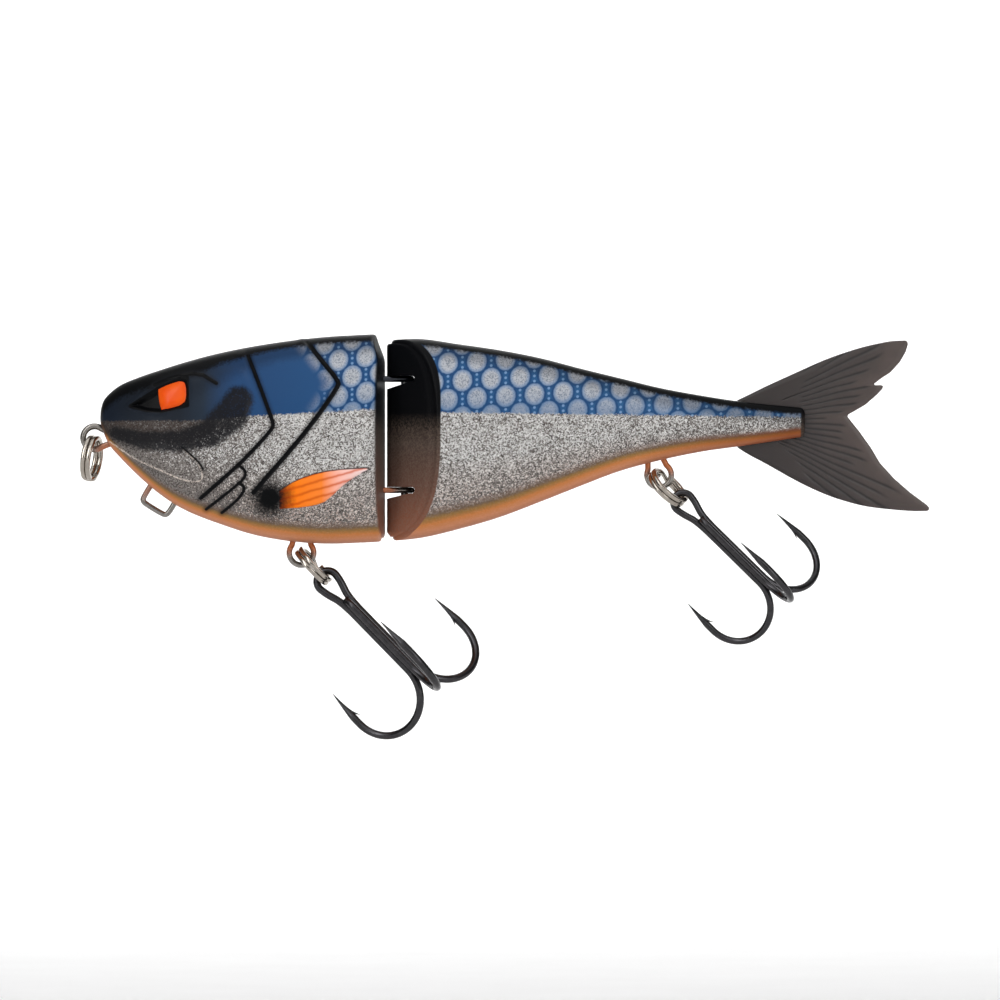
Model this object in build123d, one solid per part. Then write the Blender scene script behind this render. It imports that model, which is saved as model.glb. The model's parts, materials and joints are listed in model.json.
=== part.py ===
"""Two-section jointed glide bait: hard hollow body in two hinged sections, soft tail fin, two trebles.

Millimetres. The origin is the centre of the nose wire eye (the line tie). +X runs to the tail, +Z is up,
and the fish's left side faces -Y. Every wire part is clamped between the left and right shell halves.
"""
import os
from math import cos, pi, radians, sin, tan

from build123d import *

os.makedirs("parts", exist_ok=True)

# --- driving dimensions -------------------------------------------------------------------------
WALL = 1.8                    # shell wall thickness
ROUNDNESS = 2.3               # superellipse power of the body's cross-section
SECTION_POINTS = 16           # points around one cross-section

PIN_X = 63.3                  # body hinge axis, a vertical line at Y = 0
PIN_R = 0.75
PIN_BOTTOM, PIN_TOP = -15.0, 16.0
NOSE_R = 3.6                  # rounded nose of the rear section, about the hinge axis
FACE_GAP = 0.36               # gap between the rear section's nose and the front section's face
FACE_SLOPE = 9.4              # degrees that the front section's rear face falls back each way
FLANK_ANGLE = 43.5            # degrees from +X of the rear section's wedge flanks

WIRE_R = 0.6                  # hinge eyes, hangers and chin staple
HINGE_EYE_R = 1.45            # centre line of a hinge eye's bow
HINGE_LEG = 9.5               # length of a hinge eye's straight legs
UPPER_EYE_Z, LOWER_EYE_Z = 12.0, -10.7
SLOT_BACK = 2.4               # slot depth behind the hinge axis

LINE_TIE_R, LINE_TIE_WIRE_R = 2.35, 0.65
LOOP_R = 2.5                  # centre line radius of the hook hangers' loops
LOOP_LEG = 9.0                # a hanger leg's reach from the loop's centre into the body
FRONT_LOOP = (42.25, 0, -23.5)
REAR_LOOP = (115.3, 0, -7.6)
REAR_LOOP_TURN = 14.0         # degrees the rear hanger leans with the rising belly line

RING_OUTER_R = 4.75           # split rings: two flat coils side by side
RING_RADIAL, RING_AXIAL = 1.05, 2.05

FRONT_WIRE_R, FRONT_TREBLE_LENGTH, FRONT_TREBLE_R = 0.8, 35.1, 17.0
REAR_TREBLE_SCALE = 0.91

NOSE_RING_TILT, NOSE_RING_OPEN = 98.0, 14.0       # hang angle below +X, and turn about the hang line
FRONT_RING_TILT, FRONT_RING_OPEN = 47.0, 5.0
REAR_RING_TILT, REAR_RING_OPEN = 43.0, 19.0
REAR_RING_SLIP = 33.0        # degrees that the rear ring has slid round through its loop
RING_SLACK = 0.6              # how far a ring has slid up into its loop
FRONT_TREBLE_TILT, REAR_TREBLE_TILT = 44.7, 43.0
FRONT_TREBLE_LEAN, REAR_TREBLE_LEAN = 9.4, 4.6   # how far each treble rests swung round its ring
HOOK_ROLL = -22.0             # degrees from the side plane to the first hook
EYE_SLACK = 0.12              # how far a treble's eye centre sits beyond its ring's far side

TAIL_SLOT = 1.9               # width of the slot in the tail end that takes the soft fin
TAIL_HINGE_X = 147.2
TAIL_THICK, TAIL_TIP_THICK = 1.8, 1.0
PEG_R, PEG_X, PEG_Z = 1.2, 138.0, 2.8

# Body outline stations: x, top, bottom, half-width.
FRONT_STATIONS = [(1.2, 6.6, 1.6, 2.0), (4.0, 9.8, -2.7, 4.5), (10.0, 12.8, -8.7, 7.3), (20.0, 15.9, -15.3, 9.7),
                  (34.0, 18.9, -20.1, 11.1), (48.0, 20.7, -21.6, 11.6), (60.5, 21.2, -21.2, 11.6)]
REAR_STATIONS = [(58.8, 19.9, -21.0, 11.4), (67.0, 20.1, -20.4, 11.3), (79.0, 18.5, -17.3, 10.2),
                 (91.0, 16.3, -13.1, 8.4), (103.0, 13.2, -8.2, 6.4), (116.0, 10.1, -4.5, 4.7),
                 (131.0, 7.6, -2.0, 3.4), (145.0, 6.0, 0.4, 2.5)]
FRONT_CAVITY = (20.0, 49.0)
REAR_CAVITY = (71.0, 122.0)


# --- helpers ------------------------------------------------------------------------------------
def signed_power(value, power):
    return abs(value) ** power if value >= 0 else -abs(value) ** power


def body_section(x, top, bottom, half_width, inset=0.0):
    """One closed upright section of the body: a superellipse in the plane at x."""
    middle, half_height = (top + bottom) / 2, (top - bottom) / 2 - inset
    wide = half_width - inset
    points = []
    for step in range(SECTION_POINTS):
        angle = 2 * pi * (step + 0.5) / SECTION_POINTS
        y = wide * signed_power(cos(angle), 2 / ROUNDNESS)
        z = middle + half_height * signed_power(sin(angle), 2 / ROUNDNESS)
        points.append((x, y, z))
    return Wire([Spline(*points, periodic=True)])


def station_at(stations, x):
    """The outline at x, linear between the two nearest stations."""
    for low, high in zip(stations, stations[1:]):
        if low[0] <= x <= high[0]:
            share = (x - low[0]) / (high[0] - low[0])
            return (x, *[a + share * (b - a) for a, b in zip(low[1:], high[1:])])
    return stations[-1]


def body_form(stations, inset=0.0, span=None):
    if span:
        inner = [s for s in stations if span[0] < s[0] < span[1]]
        stations = [station_at(stations, span[0]), *inner, station_at(stations, span[1])]
    return Solid.make_loft([body_section(*s, inset=inset) for s in stations])


def prism(points, plane, height):
    return extrude(plane * make_face(Polyline(*points, close=True)), height)


def wire(path, radius):
    """A round wire swept along a path."""
    return sweep(Plane(origin=path @ 0, z_dir=path % 0) * Circle(radius), path)


def half(shape, side):
    """The half of a solid on the +Y (side 1) or -Y (side -1) side of the centre plane."""
    return split(shape, bisect_by=Plane.XZ, keep=Keep.BOTTOM if side > 0 else Keep.TOP)


def save(shape, name):
    shape.label = name
    export_step(shape, "parts/" + name + ".step")


def at_side(polygon, near, far):
    """A prism of an X-Z outline, from y = near to y = far."""
    faces = Plane.XZ * make_face(Polyline(*polygon, close=True))
    return Pos(0, far, 0) * extrude(faces, far - near)


# --- wire parts ---------------------------------------------------------------------------------
def loop_with_legs(loop_r, wire_r, leg_half, leg_length):
    """A closed wire loop in the X-Z plane with two legs running up (+Z) from its centre."""
    loop = Rot(90, 0, 0) * Torus(loop_r, wire_r)
    start = (loop_r ** 2 - leg_half ** 2) ** 0.5
    leg = Cylinder(wire_r, leg_length - start, align=(Align.CENTER, Align.CENTER, Align.MIN))
    return loop + Pos(leg_half, 0, start) * leg + Pos(-leg_half, 0, start) * leg


def hinge_eye(z):
    """A U of wire around the hinge pin, with both legs running forward into the front section."""
    tip = PIN_X + HINGE_EYE_R
    legs = PIN_X - HINGE_LEG
    path = Line((legs, HINGE_EYE_R, z), (PIN_X, HINGE_EYE_R, z))
    path += ThreePointArc((PIN_X, HINGE_EYE_R, z), (tip, 0, z), (PIN_X, -HINGE_EYE_R, z))
    path += Line((PIN_X, -HINGE_EYE_R, z), (legs, -HINGE_EYE_R, z))
    return wire(path, WIRE_R)


def chin_staple():
    """A square staple standing out of the chin, its legs at right angles to the chin line."""
    span, rise, depth, corner = 6.05, 3.5, 4.5, 1.1
    path = FilletPolyline((-span / 2, 0, depth), (-span / 2, 0, -rise), (span / 2, 0, -rise),
                          (span / 2, 0, depth), radius=corner)
    return Pos(13.9, 0, -11.5) * Rot(0, 31.4, 0) * wire(path, WIRE_R)


def split_ring():
    """A split ring with its centre at the origin and its axis along Z: two flat coils."""
    inner = RING_OUTER_R - RING_RADIAL
    ring = Cylinder(RING_OUTER_R, RING_AXIAL) - Cylinder(inner, RING_AXIAL)
    ring = chamfer(ring.edges(), 0.2)
    groove = Cylinder(RING_OUTER_R + 1, 0.12) - Cylinder(RING_OUTER_R - 0.25, 0.12)
    return ring - groove


# --- treble hook --------------------------------------------------------------------------------
def hook_wire(roll, wire_r, length, tip_r):
    """One hook of a treble, from under the eye to its point. The treble's axis is -Z from the eye."""
    near = wire_r * 1.17
    bend_r = (tip_r - near) / 2
    bend_z = -(length - 4 * wire_r - bend_r + wire_r)
    neck = -8 * wire_r
    barb_z = bend_z + 0.24 * tip_r
    tip_z = bend_z + 0.49 * tip_r
    path = Line((near, 0, neck), (near, 0, bend_z))
    path += ThreePointArc((near, 0, bend_z), (near + bend_r, 0, bend_z - bend_r), (tip_r, 0, bend_z))
    path += Line((tip_r, 0, bend_z), (tip_r - 0.1, 0, barb_z))
    needle = Cone(wire_r, 0.12, tip_z - barb_z, align=(Align.CENTER, Align.CENTER, Align.MIN))
    barb = Cone(0.42 * wire_r, 0.06, 2.6 * wire_r, align=(Align.CENTER, Align.CENTER, Align.MIN))
    barb = Pos(tip_r - 0.1 - 0.55 * wire_r, 0, barb_z + 0.9 * wire_r) * Rot(0, 205, 0) * barb
    hook = wire(path, wire_r) + Pos(tip_r - 0.1, 0, barb_z) * needle + barb
    return Rot(0, 0, roll) * hook


def double_hook(wire_r, length, tip_r, roll):
    """Two hooks and the pear-shaped eye, bent from one wire. The eye's centre is the origin."""
    near, neck, eye_r = wire_r * 1.17, -8 * wire_r, 2.75 * wire_r
    first, second = radians(roll), radians(roll - 120)
    start = Vector(near * cos(first), near * sin(first), neck)
    end = Vector(near * cos(second), near * sin(second), neck)
    waist = 2.35 * wire_r
    eye = Spline(start, (waist, 0, -0.95 * eye_r), (eye_r, 0, 0), (0, 0, eye_r), (-eye_r, 0, 0),
                 (-waist, 0, -0.95 * eye_r), end, tangents=[(0, 0, 1), (0, 0, -1)])
    hooks = [hook_wire(turn, wire_r, length, tip_r) for turn in (roll, roll - 120)]
    return wire(eye, wire_r) + hooks[0] + hooks[1]


# --- placing the swinging parts -----------------------------------------------------------------
def hang_line(angle):
    """Unit vector in the X-Z plane, at an angle below +X."""
    return Vector(cos(radians(angle)), 0, -sin(radians(angle)))


def ring_frame(loop_centre, tilt, opened, slip=0.0, slack=0.0):
    """Ring centre and frame: X along the hang line, Z along the ring's axis."""
    along = hang_line(tilt)
    normal = Vector(along.Z, 0, -along.X)
    normal = normal.rotate(Axis((0, 0, 0), along), opened)
    arm = along.rotate(Axis((0, 0, 0), normal), slip)
    centre = Vector(*loop_centre) + arm * (RING_OUTER_R - RING_RADIAL / 2 - slack)
    return Plane(origin=centre, x_dir=along, z_dir=normal)


def treble_place(ring, treble_tilt, lean):
    """Location of a treble whose eye hangs on the far side of its ring, swung a little round the ring."""
    along = hang_line(treble_tilt)
    far = ring.origin + ring.x_dir * (RING_OUTER_R - RING_RADIAL / 2)
    eye = far + along * EYE_SLACK
    hanging = Plane(origin=eye, x_dir=Vector(along.Z, 0, -along.X), z_dir=along * -1).location
    return ring.location * Rot(0, 0, lean) * ring.location.inverse() * hanging


# --- wires and metal pieces ---------------------------------------------------------------------
nose_eye = Rot(0, 90, 0) * loop_with_legs(LINE_TIE_R, LINE_TIE_WIRE_R, 0.62, 13.0)
staple = chin_staple()
front_hanger = Pos(*FRONT_LOOP) * loop_with_legs(LOOP_R, WIRE_R, 1.3, LOOP_LEG)
rear_hanger = Pos(*REAR_LOOP) * Rot(0, -REAR_LOOP_TURN, 0) * loop_with_legs(LOOP_R, WIRE_R, 1.3, LOOP_LEG)
upper_eye, lower_eye = hinge_eye(UPPER_EYE_Z), hinge_eye(LOWER_EYE_Z)
pin = Pos(PIN_X, 0, (PIN_TOP + PIN_BOTTOM) / 2) * Cylinder(PIN_R, PIN_TOP - PIN_BOTTOM)
front_weight = Pos(29, 0, -11.6) * Rot(0, 90, 0) * Cylinder(3.4, 17)
rear_weight = Pos(85, 0, -7.6) * Rot(0, 90, 0) * Cylinder(2.8, 13)

# --- front section ------------------------------------------------------------------------------
face_x = PIN_X - NOSE_R - FACE_GAP
fall = 15 * tan(radians(FACE_SLOPE))
behind_face = prism([(face_x, 0), (face_x - fall, 15), (face_x + 20, 15), (face_x + 20, -15), (face_x - fall, -15)],
                    Plane.XY.offset(-30), 60)
front_bosses = [Pos(29, 0, -11.6) * Box(21, 12, 10), Pos(FRONT_LOOP[0], 0, -16) * Box(8, 7, 14)]
front_cavity = body_form(FRONT_STATIONS, inset=WALL, span=FRONT_CAVITY)
for boss in front_bosses:
    front_cavity -= boss

# The eye sits at the back of an almond-shaped socket in the side of the head.
EYE_QUAD = [(13.2, 9.8), (18.8, 12.0), (19.1, 6.9), (14.0, 5.6)]
SOCKET = [(8.2, 6.3), (12.5, 9.9), (18.9, 12.4), (19.9, 9.4), (19.3, 6.4), (14.2, 5.2)]
EYE_SEAT, SOCKET_FLOOR, EYE_FACE = 4.6, 6.2, 7.1

front_body = body_form(FRONT_STATIONS) - front_cavity - behind_face
for side in (1, -1):
    front_body -= at_side(SOCKET, *sorted((side * SOCKET_FLOOR, side * 14)))
    front_body -= at_side(EYE_QUAD, *sorted((side * EYE_SEAT, side * 14)))
for piece in (nose_eye, staple, front_hanger, upper_eye, lower_eye, front_weight):
    front_body -= piece
eyes = {name: at_side(EYE_QUAD, *sorted((side * EYE_SEAT, side * EYE_FACE)))
        for name, side in (("left_eye", -1), ("right_eye", 1))}

# --- rear section -------------------------------------------------------------------------------
def wedge_outside():
    """Everything ahead of the rear section's rounded nose and tapered flanks."""
    slope = radians(FLANK_ANGLE)
    touch = Vector(PIN_X - NOSE_R * sin(slope), NOSE_R * cos(slope))
    reach = 20.0
    far = touch + Vector(cos(slope), sin(slope)) * reach
    keep = prism([(touch.X, touch.Y), (far.X, far.Y), (far.X, -far.Y), (touch.X, -touch.Y)],
                 Plane.XY.offset(-30), 60) + Pos(PIN_X, 0, 0) * Cylinder(NOSE_R, 60)
    block = Pos((PIN_X + far.X) / 2 - 5, 0, 0) * Box(far.X - PIN_X + 10, 2 * far.Y, 60)
    return block - keep


def hinge_slot(z, above, below, mouth_below):
    """A slot right through the wedge for one hinge eye, its floor dropping towards the mouth."""
    front, back = PIN_X - NOSE_R - 1, PIN_X + SLOT_BACK
    outline = [(front, z + above), (back, z + above), (back, z - below), (PIN_X - 0.4, z - below), (front, z - mouth_below)]
    return at_side(outline, -16, 16)


rear_body = body_form(REAR_STATIONS) - wedge_outside()
rear_cavity = body_form(REAR_STATIONS, inset=WALL, span=REAR_CAVITY)
for boss in (Pos(85, 0, -7.6) * Box(17, 12, 8.5), Pos(REAR_LOOP[0] - 1.5, 0, -2) * Box(8, 7, 10)):
    rear_cavity -= boss
rear_body -= rear_cavity
rear_body -= hinge_slot(UPPER_EYE_Z, 0.85, 1.1, 2.4)
rear_body -= hinge_slot(LOWER_EYE_Z, 0.95, 0.9, 1.8)
for piece in (pin, rear_hanger, rear_weight):
    rear_body -= piece
tail_slot = Pos(131.0 + 10, 0, 2) * Box(20, TAIL_SLOT, 16)
rear_body -= tail_slot
peg = Pos(PEG_X, 0, PEG_Z) * Rot(90, 0, 0) * Cylinder(PEG_R, TAIL_SLOT)

# --- soft tail ----------------------------------------------------------------------------------
FIN_TOP = [(131.3, 7.3), (135.9, 10.0), (144.1, 14.0), (152.2, 17.5), (160.4, 19.6), (165.9, 19.9)]
FIN_UPPER_LOBE = [(165.9, 19.9), (164.5, 15.9), (159.4, 10.8), (153.8, 4.4)]
FIN_LOWER_LOBE = [(153.8, 4.4), (156.3, 1.8), (160.4, -4.1), (166.5, -10.5), (170.5, -14.5)]
FIN_BOTTOM = [(170.5, -14.5), (160.4, -14.8), (154.3, -13.6), (144.1, -8.9), (135.9, -4.3), (131.3, -1.7)]


def fin_solid():
    """The whole fin, thinning from the root to the tips."""
    edges = [Spline(*FIN_TOP), Polyline(*FIN_UPPER_LOBE), Polyline(*FIN_LOWER_LOBE), Spline(*FIN_BOTTOM),
             Line(FIN_BOTTOM[-1], FIN_TOP[0])]
    plate = Pos(0, 3, 0) * extrude(Plane.XZ * make_face(Curve() + edges), 6)
    root, tip = TAIL_THICK / 2, TAIL_TIP_THICK / 2
    plan = prism([(130, root), (148, root), (172, tip), (172, -tip), (148, -root), (130, -root)],
                 Plane.XY.offset(-20), 45)
    return plate & plan


fin = fin_solid()
root_end = TAIL_HINGE_X - TAIL_THICK / 2 - 0.3
tail_root = split(fin, bisect_by=Plane.YZ.offset(root_end), keep=Keep.BOTTOM)
tail_root -= Pos(PEG_X, 0, PEG_Z) * Rot(90, 0, 0) * Cylinder(PEG_R + 0.05, 10)
blade_front = Pos(TAIL_HINGE_X, 0, 0) * Cylinder(TAIL_THICK / 2, 60)
tail_blade = split(fin, bisect_by=Plane.YZ.offset(TAIL_HINGE_X), keep=Keep.TOP) + (fin & blade_front)

# --- rings and trebles --------------------------------------------------------------------------
nose_ring = ring_frame((0, 0, 0), NOSE_RING_TILT, NOSE_RING_OPEN).location * split_ring()
front_frame = ring_frame(FRONT_LOOP, FRONT_RING_TILT, FRONT_RING_OPEN, slack=RING_SLACK)
rear_frame = ring_frame(REAR_LOOP, REAR_RING_TILT, REAR_RING_OPEN, slip=REAR_RING_SLIP, slack=RING_SLACK)
front_ring, rear_ring = front_frame.location * split_ring(), rear_frame.location * split_ring()

treble_sizes = {"front": (FRONT_WIRE_R, FRONT_TREBLE_LENGTH, FRONT_TREBLE_R)}
treble_sizes["rear"] = tuple(size * REAR_TREBLE_SCALE for size in treble_sizes["front"])
treble_places = {"front": treble_place(front_frame, FRONT_TREBLE_TILT, FRONT_TREBLE_LEAN),
                 "rear": treble_place(rear_frame, REAR_TREBLE_TILT, REAR_TREBLE_LEAN)}

# --- export -------------------------------------------------------------------------------------
for name, side in (("left", -1), ("right", 1)):
    save(half(front_body, side), "front_shell_" + name)
    rear_half = half(rear_body, side)
    save(rear_half + peg if name == "left" else rear_half, "rear_shell_" + name)
for name, eye in eyes.items():
    save(eye, name)
for end, (wire_r, length, tip_r) in treble_sizes.items():
    save(treble_places[end] * double_hook(wire_r, length, tip_r, HOOK_ROLL), end + "_double_hook")
    save(treble_places[end] * hook_wire(HOOK_ROLL + 120, wire_r, length, tip_r), end + "_single_hook")
for name, piece in (("nose_eye", nose_eye), ("chin_staple", staple), ("front_hook_hanger", front_hanger),
                    ("rear_hook_hanger", rear_hanger), ("hinge_eye_upper", upper_eye),
                    ("hinge_eye_lower", lower_eye), ("hinge_pin", pin), ("front_keel_weight", front_weight),
                    ("rear_keel_weight", rear_weight), ("nose_split_ring", nose_ring),
                    ("front_split_ring", front_ring), ("rear_split_ring", rear_ring),
                    ("tail_root", tail_root), ("tail_blade", tail_blade)):
    save(piece, name)
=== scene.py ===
"""Looks of a jointed glide bait: airbrushed hard shells, wire eyes, split rings, trebles and a soft fin.

The two hollow sections are moulded shells, modelled as half-bodies from a lofted skin with pressed-in
gill, mouth and fin lines. Lengths are typed in millimetres and turned to metres when a mesh is made.
"""

import json
from math import atan2, cos, pi, radians, sin, tan

import bmesh
import bpy
import numpy as np
from mathutils import Matrix, Vector


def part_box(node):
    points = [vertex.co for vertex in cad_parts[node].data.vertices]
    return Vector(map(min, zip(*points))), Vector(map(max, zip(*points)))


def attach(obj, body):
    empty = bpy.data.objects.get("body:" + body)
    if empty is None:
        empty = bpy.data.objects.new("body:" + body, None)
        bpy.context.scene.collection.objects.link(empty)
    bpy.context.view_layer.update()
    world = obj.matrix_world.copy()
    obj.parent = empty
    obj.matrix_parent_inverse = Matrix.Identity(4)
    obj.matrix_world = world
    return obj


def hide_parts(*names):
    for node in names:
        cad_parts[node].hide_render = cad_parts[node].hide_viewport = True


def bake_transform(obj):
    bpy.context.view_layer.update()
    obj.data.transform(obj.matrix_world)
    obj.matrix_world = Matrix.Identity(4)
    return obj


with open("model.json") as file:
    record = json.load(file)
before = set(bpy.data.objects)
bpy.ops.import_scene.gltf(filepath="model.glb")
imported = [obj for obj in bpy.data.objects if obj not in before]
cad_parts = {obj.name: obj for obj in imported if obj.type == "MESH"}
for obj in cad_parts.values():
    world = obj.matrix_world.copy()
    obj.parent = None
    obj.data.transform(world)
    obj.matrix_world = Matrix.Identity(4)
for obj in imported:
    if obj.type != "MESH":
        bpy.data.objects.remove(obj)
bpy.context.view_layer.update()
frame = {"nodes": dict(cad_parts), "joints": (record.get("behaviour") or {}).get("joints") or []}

MM = 0.001
joints = {joint["name"]: joint for joint in frame["joints"]}


def joint_place(name):
    return Vector(joints[name]["pos_m"]) / MM


def joint_axis(name):
    return Vector(joints[name]["axis"]).normalized()


PIN_X = joint_place("body_joint").x        # vertical hinge between the two sections
NOSE_R = 3.6                               # rounded nose of the rear section, about the pin
FACE_GAP = 0.36
FACE_X = PIN_X - NOSE_R - FACE_GAP         # front section's rear face, at the centre plane
FACE_FALL = tan(radians(9.4))              # how fast that face falls back towards each side
FLANK_ANGLE = radians(43.5)                # wedge flanks of the rear section
UPPER_EYE_Z = sum(corner.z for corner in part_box("hinge_eye_upper")) / 2 / MM
LOWER_EYE_Z = sum(corner.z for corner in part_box("hinge_eye_lower")) / 2 / MM
WIRE_R = 0.6                               # hinge eyes, hangers and staple
TAIL_SLOT = 0.95                           # half the width of the slot that holds the soft fin
TAIL_SLOT_X = 131.0
TAIL_END_X = 145.0
RING_OUTER_R, RING_HALF_RADIAL = 4.75, 0.525   # split rings, and half the width of their flattened wire
LINE_TIE_R, LINE_TIE_WIRE_R = 2.35, 0.65
HANGER_R = 2.5
NOSE_RING_TILT, NOSE_RING_OPEN = 98, 14        # degrees below +X, and turned about that line
TREBLE_WIRE_R, TREBLE_LENGTH, TREBLE_R = 0.8, 35.1, 17.0
REAR_TREBLE_SCALE = 0.91
TREBLE_HANG = {"front": (44.7, 47.0, 9.4), "rear": (43.0, 43.0, 4.6)}   # treble's tilt, ring's tilt, swing
HOOK_ROLLS = (-22.0, -142.0, 98.0)             # the double hook's two, then the single one
NEVER = 50.0                                   # a paint field's value where its stencil does not reach

# Side outlines, in millimetres: distance from the line tie, back, belly, half-width.
FRONT_OUTLINE = [
    (1.15, 4.4, 4.0, 0.1), (1.9, 7.7, 0.8, 2.9), (3.1, 9.1, -1.6, 4.1), (5.2, 10.7, -4.0, 5.4),
    (9.2, 12.4, -8.0, 7.2), (13.3, 13.8, -11.5, 8.6), (17.4, 15.1, -14.2, 9.6),
    (25.6, 17.3, -17.6, 10.7), (33.8, 18.9, -20.1, 11.2), (46.0, 20.5, -21.6, 11.4),
    (60.0, 21.3, -21.2, 11.3)]
REAR_OUTLINE = [
    (59.0, 19.9, -21.2, 11.4), (66.4, 20.2, -20.5, 11.3), (74.6, 19.1, -18.6, 10.6),
    (82.8, 17.9, -16.2, 9.6), (91.0, 16.3, -13.1, 8.4), (99.1, 14.2, -9.9, 7.2),
    (107.3, 12.2, -6.8, 6.1), (115.5, 10.2, -4.6, 5.0), (123.6, 8.7, -2.9, 4.1),
    (132.0, 7.4, -1.7, 3.5), (146.0, 6.0, 0.4, 2.8)]
BACK_SQUARENESS, BELLY_SQUARENESS = 3.0, 2.5   # superellipse powers above and below mid-height


# --- curves and fields
def smooth_curve(knots, values, at):
    """A cubic curve through listed knots, read at the given places."""
    knots, values = np.asarray(knots, float), np.asarray(values, float)
    slopes = np.gradient(values, knots)
    i = np.clip(np.searchsorted(knots, at) - 1, 0, len(knots) - 2)
    gap = knots[i + 1] - knots[i]
    t = np.clip((at - knots[i]) / gap, 0, 1)
    rise = t * t * (3 - 2 * t)
    return (values[i] * (1 - rise) + values[i + 1] * rise
            + gap * (slopes[i] * (t ** 3 - 2 * t * t + t) + slopes[i + 1] * (t ** 3 - t * t)))


def outline_at(outline, x):
    """Back, belly and half-width at x. The curve runs in the root of x, so that the nose is round."""
    rows = np.array(outline)
    start = rows[0, 0]
    knots = np.sqrt(rows[:, 0] - start) if outline is FRONT_OUTLINE else rows[:, 0]
    at = np.sqrt(np.maximum(x - start, 0)) if outline is FRONT_OUTLINE else x
    return [smooth_curve(knots, rows[:, column], at) for column in (1, 2, 3)]


def smoothstep(low, high, value):
    t = np.clip((value - low) / (high - low), 0, 1)
    return t * t * (3 - 2 * t)


def rounded_line(points, corner_rounds=2):
    """A drawn line with its corners cut round, by repeated corner cutting."""
    points = np.array(points, float)
    for _ in range(corner_rounds):
        inner = np.concatenate([points[:-1] * 0.75 + points[1:] * 0.25,
                                points[:-1] * 0.25 + points[1:] * 0.75], axis=1).reshape(-1, 2)
        points = np.concatenate([points[:1], inner, points[-1:]])
    return points


def line_distance(line, x, z, half_widths=None):
    """Distance in the side view to a drawn line, or to the edge of a stroke with a half-width at each point."""
    half_widths = np.zeros(len(line)) if half_widths is None else half_widths
    nearest = np.full(x.shape, 1e3)
    for (ax, az), (bx, bz), a_half, b_half in zip(line[:-1], line[1:], half_widths[:-1], half_widths[1:]):
        dx, dz = bx - ax, bz - az
        t = np.clip(((x - ax) * dx + (z - az) * dz) / (dx * dx + dz * dz), 0, 1)
        stroke = a_half + t * (b_half - a_half)
        nearest = np.minimum(nearest, np.hypot(x - ax - t * dx, z - az - t * dz) - stroke)
    return nearest


def outline_distance(polygon, x, z):
    """Signed distance to a closed outline in the side view: below 0 inside."""
    closed = np.concatenate([polygon, polygon[:1]])
    distance = line_distance(closed, x, z)
    inside = np.zeros(x.shape, bool)
    for (ax, az), (bx, bz) in zip(closed[:-1], closed[1:]):
        if az != bz:
            crosses = (az > z) != (bz > z)
            inside ^= crosses & (x < (bx - ax) * (z - az) / (bz - az) + ax)
    return np.where(inside, -distance, distance)


# --- lines pressed and painted on the body (side view, X and Z in millimetres)
GILL_FRONT = rounded_line([(31.6, 16.6), (34.0, 10.6), (36.2, 4.6), (36.9, 2.6), (36.5, 1.6), (33.6, -1.7),
                           (29.5, -5.9), (22.0, -12.3)])
GILL_REAR = rounded_line([(43.6, 19.4), (46.6, 15.6), (49.9, 11.6), (50.1, 10.4), (44.9, 3.0), (39.9, -3.1),
                          (36.0, -7.5), (32.8, -11.2)])
GILL_CURLS = [rounded_line([(29.5, -5.6), (30.9, -6.4), (31.3, -7.6), (30.3, -9.0), (26.5, -12.0), (23.0, -14.6)]),
              rounded_line([(29.6, -9.3), (30.8, -9.8), (30.9, -10.9), (29.2, -13.0), (26.2, -15.3)])]
BROW = rounded_line([(12.6, 10.7), (16.5, 12.4), (21.6, 13.2), (25.2, 11.0)], 1)
JAW = rounded_line([(3.2, -0.8), (8.2, -4.2), (12.0, -5.9), (18.0, -8.6), (21.5, -9.2), (22.6, -8.0), (21.9, -5.8),
                    (20.2, -4.0), (17.9, -2.1)])
CHEEK = [(4.5, 0.8, 1.2), (10.0, -0.6, 1.6), (18.0, -0.8, 1.9), (24.0, 0.8, 2.6), (28.5, 4.8, 3.2),
         (29.8, 7.5, 2.6)]                                      # x, z and half-width of the dark cheek
PECTORAL = rounded_line([(38.0, -10.8), (41.5, -8.6), (46.0, -7.1), (51.0, -6.4), (57.3, -6.1), (54.0, -7.6),
                         (51.3, -9.4), (48.6, -12.0), (46.8, -13.4), (43.0, -14.2), (38.0, -14.5)], 1)
SOCKET = rounded_line([(7.2, 6.3), (10.2, 8.9), (13.3, 11.2), (18.9, 12.5), (19.9, 9.4), (19.2, 6.3), (14.2, 4.8),
                       (10.6, 5.3)], 1)
PUPIL_GAP = np.array([(7.6, 6.4), (10.5, 8.2), (13.4, 10.0), (15.0, 8.0), (14.2, 5.4), (11.0, 5.5)])
EYE_CORNERS = [(13.1, 9.9), (19.2, 12.5), (19.35, 6.5), (13.9, 5.3)]
BODY_SPOT = (36.0, -12.3)


def cheek_distance(x, z):
    """Signed distance to the soft dark cheek patch, a stroke whose width changes."""
    stroke = np.array(CHEEK)
    return line_distance(stroke[:, :2], x, z, stroke[:, 2])


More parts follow.
